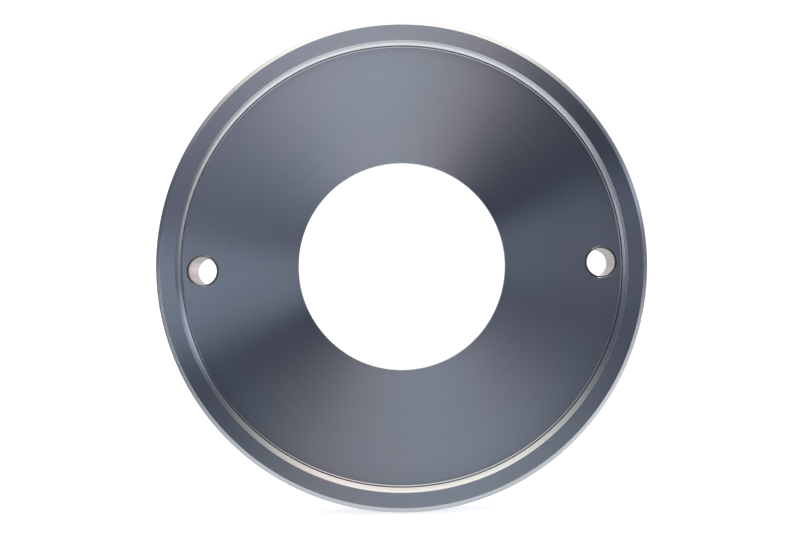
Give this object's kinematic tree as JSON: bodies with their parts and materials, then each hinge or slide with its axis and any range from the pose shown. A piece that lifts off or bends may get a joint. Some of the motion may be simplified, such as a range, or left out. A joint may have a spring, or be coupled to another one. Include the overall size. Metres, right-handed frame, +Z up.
{
  "type": "brake disc rotor",
  "caption": "Thick round rotor with a raised rim ring, a recessed turned face, a large centre bore and a bushed through hole on each side.",
  "frame": {"origin": "on the rotor's axis, half way through its thickness", "axes": "+Y along the rotor's axis, out of the flat mounting back; the recessed front faces -Y; +X towards the right bushed hole as seen from the front; +Z up"},
  "size_m": [0.18, 0.013, 0.18],
  "materials": {
    "disc_steel": "fine turned, satin",
    "rim_steel": "fine turned, satin, with bright chamfers",
    "bush_steel": "reamed, satin"
  },
  "bodies": {
    "root": {"rotor_disc": "disc_steel", "rim_ring": "rim_steel", "left_bush": "bush_steel", "right_bush": "bush_steel"}
  },
  "joints": []
}
